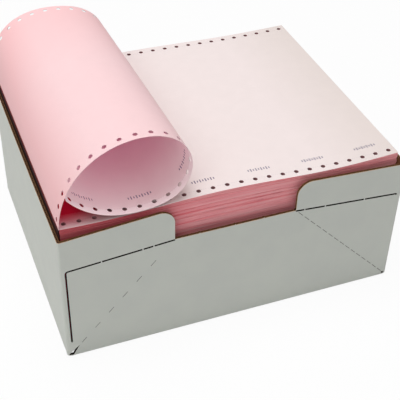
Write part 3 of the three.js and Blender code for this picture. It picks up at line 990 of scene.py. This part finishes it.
def glowing(material, masks_and_colours, strength):
    """Weak emission as painted light: light let through by the thin ply, and light at the curl's open mouth.
    """
    tree = material.node_tree
    shader = tree.nodes["Principled BSDF"]
    colour = (0.0, 0.0, 0.0, 1.0)
    for mask_name, light in masks_and_colours:
        colour = mix_colour(tree, place_mask(tree, mask_name), colour, light)
    tree.links.new(colour, shader.inputs["Emission Color"])
    shader.inputs["Emission Strength"].default_value = strength


places_group = make_places_group()
print("the curl shuts in the first", round(SHUT_ALONG[1] * FORM_LENGTH), "mm of the page")

# %% [markdown]
# ## Paper surfaces
#
# The form is two plies, white in front and pink behind, so the page and the inside of the curl are white and
# printed, and the outside of the curl is pink. Both are uncoated and dull. Colours are written as they look
# on a screen, and the fibre group moves them a few parts in a hundred to either side.

# %% Paper materials
WHITE_PLY, PINK_PLY, ROSY_SHADE = srgb(246, 233, 231), srgb(252, 216, 218), srgb(254, 203, 205)
MARGIN_WHITE, INNER_MARGIN = srgb(255, 248, 246), 0.6
INK, TICK_INK = srgb(66, 46, 104), 0.85
FAINT_INK, LINE_INK = srgb(176, 166, 172), 0.35
THROUGH_LIGHT, MOUTH_LIGHT, ROOF_GLOW = srgb(255, 78, 174), srgb(229, 207, 211), 0.18
TUNNEL_RED, TUNNEL_GLOW = srgb(150, 10, 35), 0.4
DEEP_RED_SHADE, FOLD_SHADE = srgb(48, 8, 16), srgb(44, 14, 14)
FAR_PAGE_SHADE = (0.887, 0.89, 0.863, 1.0)
WELL_SHADE, PUNCHED_SHADE, SHEET_EDGE = srgb(176, 130, 132), srgb(96, 70, 74), srgb(250, 226, 226)
TONE_SWING = 0.035


def paper_material(name, colour, printed=False, margin=0.0):
    """Uncoated paper: its colour with a faint cloud, fibre bump, and the form's print on the white ply."""
    material, tree, shader = new_material(name, roughness=0.78)
    fibre = use(tree, fibre_group, {"Place": place_in(tree)})
    dark = tuple(channel * (1 - 2 * TONE_SWING) for channel in colour[:3]) + (1.0,)
    light = tuple(min(1, channel * (1 + TONE_SWING)) for channel in colour[:3]) + (1.0,)
    base = mix_colour(tree, fibre["Tone"], dark, light)
    if printed:
        marks = use(tree, print_group, {"Flat": flat_in(tree)})
        base = tinted(tree, base, MARGIN_WHITE, marks["Margin"], margin)
        base = tinted(tree, base, FAINT_INK, marks["Line"], LINE_INK)
        base = tinted(tree, base, INK, marks["Ticks"], TICK_INK)
    dress(tree, shader, base, fibre["Height"], strength=0.15, distance=0.05 * MM)
    return material


page_front = paper_material("page_front", WHITE_PLY, printed=True)
# Painted shade: the far end of the page, away from the fold, is multiplied darker.
recolour(page_front, "Far", FAR_PAGE_SHADE, "MULTIPLY")
# Painted shade under the curl: the gap it shuts in is painted deep red, darkest furthest in, and the strip
# along the left fold near black.
for mask_name, tint in (("Shut In", TUNNEL_RED), ("Deep", DEEP_RED_SHADE), ("Fold", FOLD_SHADE)):
    recolour(page_front, mask_name, tint)
# Painted light: a weak red glow in that gap stands for light let through by the pink ply.
glowing(page_front, [("Glow", TUNNEL_RED)], TUNNEL_GLOW)
page_back = paper_material("page_back", PINK_PLY)
# Painted shade: the curl's outside is painted a deeper pink near the fold and towards the back.
lifted_outside = recolour(paper_material("lifted_outside", PINK_PLY), "Rosy", ROSY_SHADE)
lifted_inside = paper_material("lifted_inside", WHITE_PLY, printed=True, margin=INNER_MARGIN)
# Painted light inside the curl: a pink glow under its roof and a pale one at its open mouth.
glowing(lifted_inside, [("Roof", THROUGH_LIGHT), ("Mouth", MOUTH_LIGHT)], ROOF_GLOW)
well_edges = paper_material("well_edges", WELL_SHADE)
punched_edge = paper_material("punched_edge", PUNCHED_SHADE)
sheet_edge = paper_material("sheet_edge", SHEET_EDGE)
print("materials so far:", [material.name for material in bpy.data.materials])

# %% [markdown]
# ## Sides of the stack
#
# The sides of the stack are cut edges of white and pink plies by turns, a tenth of a millimetre each. From a
# step away they blur to a dull rose with soft streaks, where handfuls of sheets stand a hair in or out, and
# fine dark lines of painted shade where a gap opens. Noise that is squashed flat along the sheets makes all
# three. Below the curl the sides get painted shade, and the folds at the left end the darkest painted shade.

# %% Cut edges of the plies
EDGE_ROSE, EDGE_PALE, EDGE_DEEP = srgb(255, 170, 176), srgb(255, 204, 205), srgb(244, 134, 143)
EDGE_GAP_SHADE = srgb(168, 66, 78)
EDGE_SHADE_UNDER_CURL = (0.75, 0.38, 0.42, 1.0)
STREAK_HEIGHT, STREAK_STRETCH, STREAK_DETAIL = 0.0012, 60.0, 3.0
PLY_HEIGHT, PLY_STRETCH, PLY_DETAIL = 0.0003, 200.0, 1.0
STREAK_RANGE, GAP_RANGE = (0.3, 0.7), (0.6, 0.7)
ROSE_SHARE, PLY_SHARE, GAP_SHARE = 0.35, 0.35, 0.6


def make_layer_group():
    """Noise stretched along the sheets: broad streaks and fine plies."""
    group, given = new_group("sheet_layers", {"Place": NOWHERE, "Streak Height": STREAK_HEIGHT,
                                              "Ply Height": PLY_HEIGHT})

    def layers(height, stretch, detail):
        squash = {"Vector": given["Place"], "Scale": (1 / stretch, 1 / stretch, 1.0)}
        place = add(group, "ShaderNodeMapping", squash).outputs[0]
        return noise(group, place, maths(group, "DIVIDE", 1.0, height), detail)

    return give(group, {"Streak": layers(given["Streak Height"], STREAK_STRETCH, STREAK_DETAIL),
                        "Ply": layers(given["Ply Height"], PLY_STRETCH, PLY_DETAIL)})


def ply_edges_material():
    """Rose streaks with a fine ply grain over them, painted shade in the gaps, and a matching bump."""
    material, tree, shader = new_material("ply_edges", roughness=0.85, specular=0.2)
    layers = use(tree, make_layer_group(), {"Place": place_in(tree)})
    base = mix_colour(tree, ramped(tree, layers["Streak"], *STREAK_RANGE), EDGE_DEEP, EDGE_PALE)
    base = mix_colour(tree, ROSE_SHARE, base, EDGE_ROSE)
    base = tinted(tree, base, EDGE_DEEP, layers["Ply"], PLY_SHARE)
    base = tinted(tree, base, EDGE_GAP_SHADE, ramped(tree, layers["Ply"], *GAP_RANGE), GAP_SHARE)
    dress(tree, shader, base, layers["Ply"], strength=0.4, distance=0.2 * MM)
    return material


# Painted shade: the sides darken under the curl, and the folds at the left end are painted near black.
ply_edges = recolour(ply_edges_material(), "Under", EDGE_SHADE_UNDER_CURL, "MULTIPLY")
recolour(ply_edges, "Fold", FOLD_SHADE)
print("streaks", STREAK_HEIGHT / MM, "mm high over plies", PLY_HEIGHT / MM, "mm high")

# %% [markdown]
# ## Board
#
# The carton is corrugated board with a pale grey printed coat outside and bare brown liner inside. The coat
# shows the flutes as a faint washboard and has small clouds and specks. Where the board ends, two brown
# liners and the wave of the flutes between them come to light, with painted shade in the hollows, and the
# narrow cuts are painted plain dark as shade inside.
# The wave is drawn from the distance round the carton, so that washboard and cut edge agree.

# %% Board finishes
FLUTE_PITCH, FLUTE_SWING, MEDIUM_HALF, LINER_SHARE = 6.4, 0.36, 0.1, 0.18
CLOUDS_PER_METRE, SPECKS_PER_METRE = 45.0, 900.0
COAT, COAT_DARK = srgb(210, 213, 205), srgb(207, 210, 203)
KRAFT, KRAFT_DARK = srgb(163, 122, 84), srgb(128, 90, 58)
KRAFT_PALE, KRAFT_SHADE = srgb(190, 152, 112), srgb(52, 32, 22)
CUT_SHADE = srgb(38, 28, 22)
BOARD_CLOUDS = (0.35, 0.65)
SPECK_TINT, SPECK_RELIEF = 0.12, 0.1


def flute_wave(tree, distance, swing):
    """The sine of the flutes round the carton, about one half."""
    phase = maths(tree, "MULTIPLY", distance, 2 * np.pi / (FLUTE_PITCH * MM))
    return maths(tree, "MULTIPLY_ADD", maths(tree, "SINE", phase), swing, 0.5)


def make_board_group():
    """Flute wave from the distance round the carton, plus clouds and specks from the place in space."""
    group, given = new_group("board_surface", {"Flat": NOWHERE, "Place": NOWHERE})
    distance = add(group, "ShaderNodeSeparateXYZ", {0: given["Flat"]}).outputs[0]
    return give(group, {"Flute": flute_wave(group, distance, 0.5),
                        "Cloud": noise(group, given["Place"], CLOUDS_PER_METRE, detail=5.0),
                        "Speck": noise(group, given["Place"], SPECKS_PER_METRE, detail=2.0)})


board_group = make_board_group()


def liner_material(name, colour, cloud_colour, roughness, washboard):
    """A liner face: base colour with clouds and specks, and the flutes as a soft washboard."""
    material, tree, shader = new_material(name, roughness)
    board = use(tree, board_group, {"Flat": flat_in(tree), "Place": place_in(tree)})
    base = mix_colour(tree, ramped(tree, board["Cloud"], *BOARD_CLOUDS), cloud_colour, colour)
    base = tinted(tree, base, cloud_colour, board["Speck"], SPECK_TINT)
    flutes = maths(tree, "MULTIPLY", board["Flute"], washboard)
    relief_height = maths(tree, "MULTIPLY_ADD", board["Speck"], SPECK_RELIEF, flutes)
    dress(tree, shader, base, relief_height, strength=0.5, distance=0.2 * MM)
    return material


def cut_edge_material():
    """The flute wave drawn across the board's thickness: brown medium between two liners, painted shade in
    the hollows.
    """
    material, tree, shader = new_material("cut_board", roughness=0.9, specular=0.2)
    flat = add(tree, "ShaderNodeSeparateXYZ", {0: flat_in(tree)}).outputs
    depth = maths(tree, "DIVIDE", flat[1], BOARD * MM)
    wave = flute_wave(tree, flat[0], FLUTE_SWING)
    from_wave = maths(tree, "ABSOLUTE", maths(tree, "SUBTRACT", depth, wave))
    medium = maths(tree, "LESS_THAN", from_wave, MEDIUM_HALF)
    outer = maths(tree, "LESS_THAN", depth, LINER_SHARE)
    inner = maths(tree, "GREATER_THAN", depth, 1 - LINER_SHARE)
    solid = maths(tree, "MAXIMUM", maths(tree, "MAXIMUM", medium, outer), inner)
    base = mix_colour(tree, medium, KRAFT_SHADE, KRAFT_DARK)
    base = mix_colour(tree, outer, base, KRAFT_PALE)
    base = mix_colour(tree, inner, base, KRAFT_DARK)
    dress(tree, shader, base, solid, strength=0.6, distance=0.4 * MM)
    return material


coat = liner_material("grey_coat", COAT, COAT_DARK, roughness=0.62, washboard=0.12)
kraft = liner_material("kraft_liner", KRAFT, KRAFT_DARK, roughness=0.85, washboard=0.3)
cut_board = cut_edge_material()
# Plain painted shade for the inside of the narrow cuts.
painted_cut_shade, _, dark_shader = new_material("painted_cut_shade", roughness=0.9, specular=0.1)
dark_shader.inputs["Base Color"].default_value = CUT_SHADE
print("flutes every", FLUTE_PITCH, "mm in board", BOARD, "mm thick")

# %% [markdown]
# ## The three pieces
#
# The patches and their materials now become objects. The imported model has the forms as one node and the
# carton as another, so the stack and the lifted form together take the place of the first and the folded
# blank takes the place of the second. Nothing moves, so all three ride on the root body.

# %% Make the pieces
lifted_materials = [lifted_outside, lifted_inside, sheet_edge, punched_edge]
stack = make_object("form_stack", stack_patches(), [page_front, page_back, ply_edges, well_edges])
lifted = make_object("lifted_form", lifted_form_patches(), lifted_materials)
carton = make_object("feed_carton", carton_patches(), [coat, kraft, cut_board, painted_cut_shade])

for piece in (stack, lifted):
    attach(piece, "root")
    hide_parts("continuous_forms")
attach(carton, "root")
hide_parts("carton")

# %% [markdown]
# ## Floor
#
# The object stands on plain white ground. The camera sees it as nearly pure white, through a share of
# emission that only camera and mirror rays meet, so that no extra light falls on the object and its shadow
# still shows.

# %% Floor and background
FLOOR_SIZE = 6.0
GROUND_WHITE, GROUND_ROUGHNESS, GROUND_GLOW = (0.9, 0.9, 0.9, 1.0), 0.9, 0.93
PURE_WHITE = (1.0, 1.0, 1.0, 1.0)


def seen_plainly(tree):
    """1 for the rays by which the camera or a mirror sees a surface, 0 for those that carry its light on."""
    path = add(tree, "ShaderNodeLightPath").outputs
    return maths(tree, "MAXIMUM", path["Is Camera Ray"], path["Is Glossy Ray"])


def white_ground():
    """A diffuse white, most of which is swapped for plain white where it is seen plainly."""
    material = bpy.data.materials.new("ground")
    material.use_nodes = True
    tree = material.node_tree
    shader = tree.nodes["Principled BSDF"]
    shader.inputs["Base Color"].default_value = GROUND_WHITE
    shader.inputs["Roughness"].default_value = GROUND_ROUGHNESS
    glow = add(tree, "ShaderNodeEmission", {"Color": PURE_WHITE, "Strength": 1.0})
    share = maths(tree, "MULTIPLY", seen_plainly(tree), GROUND_GLOW)
    mix = add(tree, "ShaderNodeMixShader", {0: share, 1: shader.outputs[0], 2: glow.outputs[0]})
    tree.links.new(mix.outputs[0], tree.nodes["Material Output"].inputs["Surface"])
    return material


def make_floor():
    """A large flat square at the object's foot."""
    half = FLOOR_SIZE / 2
    mesh = bpy.data.meshes.new("floor")
    corners = [(-half, -half, 0), (half, -half, 0), (half, half, 0), (-half, half, 0)]
    mesh.from_pydata(corners, [], [(0, 1, 2, 3)])
    mesh.materials.append(white_ground())
    floor = bpy.data.objects.new("floor", mesh)
    bpy.context.scene.collection.objects.link(floor)


make_floor()
print("floor of", FLOOR_SIZE, "m")

# %% [markdown]
# ## Light
#
# The shadows of the object are short and soft, so most light comes from a broad lamp overhead. Two weaker
# ones, from the upper left and from the front left, give the left ends and the front wall their share, and
# an even grey sky fills what they leave. The lamps are set so that white paper stays just below white.

# %% World and lamps, in metres and watts
SKY = 0.25
LAMP_TARGET = (0, 0, 0.1)


def make_world():
    """An even grey sky that the camera sees as white."""
    world = bpy.data.worlds.new("studio")
    world.use_nodes = True
    tree = world.node_tree
    strength = maths(tree, "ADD", maths(tree, "MULTIPLY", seen_plainly(tree), 1 - SKY), SKY)
    background = tree.nodes["Background"]
    background.inputs["Color"].default_value = PURE_WHITE
    tree.links.new(strength, background.inputs["Strength"])
    bpy.context.scene.world = world


def lamp(name, place, size, power):
    """A square area lamp that looks at the object."""
    light = bpy.data.lights.new(name, "AREA")
    light.size = size
    light.energy = power
    lamp_object = bpy.data.objects.new(name, light)
    lamp_object.location = place
    lamp_object.rotation_euler = (Vector(LAMP_TARGET) - Vector(place)).to_track_quat("-Z", "Y").to_euler()
    bpy.context.scene.collection.objects.link(lamp_object)
    print(name, "lamp:", power, "W over", size, "m")


make_world()
lamp("overhead", place=(-0.1, 0.1, 2.3), size=1.5, power=29.5)
lamp("upper_left", place=(-1.3, 0.0, 1.9), size=1.2, power=6.3)
lamp("front_left", place=(-1.3, -1.3, 1.7), size=1.2, power=8.5)

# %% [markdown]
# ## Camera
#
# The picture is taken from the front left, about a metre away and from well above the rim. The camera's
# place, turn and lens were fitted to known points of the object: sprocket holes of both margins and corners
# of the carton.

# %% Camera, in metres, degrees and millimetres
CAMERA_PLACE = (-0.2552, -0.6626, 0.6180)
CAMERA_TURN = (50.322, -0.748, -20.390)
LENS, SENSOR = 83.18, 36.0
CAMERA_SHIFT = (0.03396, 0.01648)


def make_camera():
    """The photograph's viewpoint, with a small shift for its framing."""
    camera = bpy.data.cameras.new("camera")
    camera.lens = LENS
    camera.sensor_width = SENSOR
    camera.shift_x, camera.shift_y = CAMERA_SHIFT
    camera_object = bpy.data.objects.new("camera", camera)
    camera_object.location = CAMERA_PLACE
    camera_object.rotation_euler = np.radians(CAMERA_TURN)
    bpy.context.scene.collection.objects.link(camera_object)
    bpy.context.scene.camera = camera_object
    bpy.context.scene.view_settings.view_transform = "Standard"
    print("camera", round(Vector(CAMERA_PLACE).length, 2), "m away")


make_camera()
